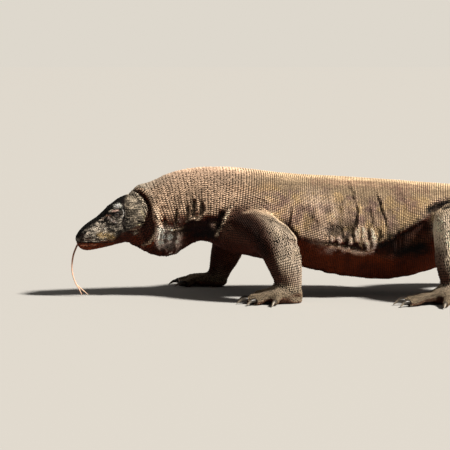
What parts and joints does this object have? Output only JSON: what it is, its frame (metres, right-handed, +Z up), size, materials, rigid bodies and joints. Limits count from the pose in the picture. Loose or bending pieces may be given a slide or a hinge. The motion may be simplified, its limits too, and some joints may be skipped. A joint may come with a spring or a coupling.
{
  "type": "komodo dragon",
  "caption": "Life-size Komodo dragon, walking with its head low and its forked tongue out, body in a gentle bend and tail laid on the floor.",
  "frame": {"origin": "on the floor, under the middle of the animal's bounding box", "axes": "-X the way the animal faces, -Y its left side, +Z up; the body, from tongue to tail, is longest along X"},
  "size_m": [2.4616, 0.7272, 0.3704],
  "materials": {
    "hide": "dry beaded reptile skin, matt, grey-brown with tan scales",
    "claw_horn": "dark horn, satin, worn at the tips",
    "eye": "wet, dark brown",
    "tongue_flesh": "moist, pinkish pale flesh"
  },
  "bodies": {
    "root": {"belly": "hide", "chest": "hide", "head": "hide", "left_eye": "eye", "left_forearm": "hide", "left_forefoot": "hide", "left_forefoot_claw_1": "claw_horn", "left_forefoot_claw_2": "claw_horn", "left_forefoot_claw_3": "claw_horn", "left_forefoot_claw_4": "claw_horn", "left_forefoot_claw_5": "claw_horn", "left_hindfoot": "hide", "left_hindfoot_claw_1": "claw_horn", "left_hindfoot_claw_2": "claw_horn", "left_hindfoot_claw_3": "claw_horn", "left_hindfoot_claw_4": "claw_horn", "left_hindfoot_claw_5": "claw_horn", "left_shank": "hide", "left_thigh": "hide", "left_upper_arm": "hide", "lower_jaw": "hide", "neck": "hide", "right_eye": "eye", "right_forearm": "hide", "right_forefoot": "hide", "right_forefoot_claw_1": "claw_horn", "right_forefoot_claw_2": "claw_horn", "right_forefoot_claw_3": "claw_horn", "right_forefoot_claw_4": "claw_horn", "right_forefoot_claw_5": "claw_horn", "right_hindfoot": "hide", "right_hindfoot_claw_1": "claw_horn", "right_hindfoot_claw_2": "claw_horn", "right_hindfoot_claw_3": "claw_horn", "right_hindfoot_claw_4": "claw_horn", "right_hindfoot_claw_5": "claw_horn", "right_shank": "hide", "right_thigh": "hide", "right_upper_arm": "hide", "tail_end": "hide", "tail_middle": "hide", "tail_root": "hide", "tongue": "tongue_flesh"}
  },
  "joints": []
}
